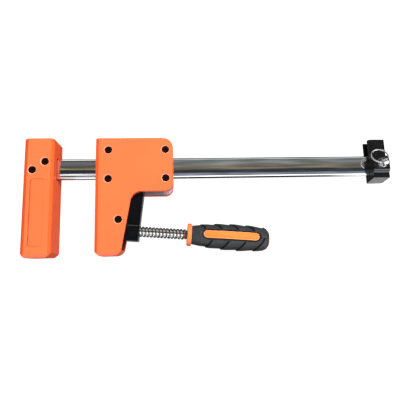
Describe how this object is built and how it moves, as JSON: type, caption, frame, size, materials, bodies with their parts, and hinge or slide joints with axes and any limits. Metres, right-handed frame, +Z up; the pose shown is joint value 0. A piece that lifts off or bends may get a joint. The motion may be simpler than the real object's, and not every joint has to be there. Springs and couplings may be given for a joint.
{
  "type": "parallel clamp",
  "caption": "Parallel bar clamp: a chromed flat bar with a fixed orange jaw, a sliding jaw pressed by an arm and screw spindle with a soft handle, and a removable end stop held by a ring pin.",
  "frame": {"origin": "middle of the underside of the box round the clamp, which lies on its back", "axes": "+X along the bar from the fixed jaw to the end stop, +Y from the jaws' toes to their heels, +Z up through the thickness towards the screw heads"},
  "size_m": [0.453, 0.1414, 0.0465],
  "materials": {
    "chrome": "bright chrome plate",
    "orange_plastic": "fine satin moulding",
    "core_iron": "as cast",
    "core_steel": "zinc plated",
    "black_screws": "black oxide",
    "black_stop": "black coated, semi-gloss",
    "black_arm": "black coated, satin",
    "nylon": "natural nylon",
    "handle_orange": "satin",
    "grip_rubber": "soft, fine matt"
  },
  "bodies": {
    "frame": {"bar": "chrome", "fixed_jaw_sleeve": "orange_plastic", "fixed_jaw_core": "core_iron", "fixed_jaw_screws": "black_screws", "fixed_jaw_nuts": "core_steel", "end_stop": "black_stop"},
    "lock_pin": {"lock_pin": "chrome"},
    "split_ring": {"split_ring": "chrome"},
    "sliding_jaw": {"jaw_front_cover": "orange_plastic", "jaw_rear_cover": "orange_plastic", "jaw_core": "core_steel", "upper_guides": "nylon", "lower_guides": "nylon", "jaw_screws": "black_screws", "jaw_nuts": "core_steel", "thrust_socket": "core_steel", "spindle_clip": "core_steel"},
    "arm": {"sliding_arm": "black_arm", "grip_pins": "core_steel"},
    "spindle": {"spindle": "chrome", "handle_core": "handle_orange", "handle_grip": "grip_rubber"}
  },
  "joints": [
    {"name": "jaw_slide", "type": "slide", "parent": "frame", "child": "sliding_jaw", "axis": [1, 0, 0], "range_m": [-0.0485, 0.25]},
    {"name": "spindle_turn", "type": "hinge", "parent": "sliding_jaw", "child": "spindle", "pos_m": [-0.14285, -0.03775, 0.01975], "axis": [-0.9962, 0.0872, 0], "range_deg": [0, 1200]},
    {"name": "arm_feed", "type": "slide", "parent": "sliding_jaw", "child": "arm", "axis": [0.9962, -0.0872, 0], "range_m": [0, 0.01405]},
    {"name": "pin_pull", "type": "slide", "parent": "frame", "child": "lock_pin", "axis": [0, 0, 1], "range_m": [0, 0.028]},
    {"name": "ring_swing", "type": "hinge", "parent": "lock_pin", "child": "split_ring", "pos_m": [0.21555, 0.03675, 0.04265], "axis": [0.9466, 0.3223, 0], "range_deg": [0, 200]}
  ],
  "couplings": [
    {"joint": "arm_feed", "follows": "spindle_turn", "m_per_rad": 0.00066845}
  ]
}
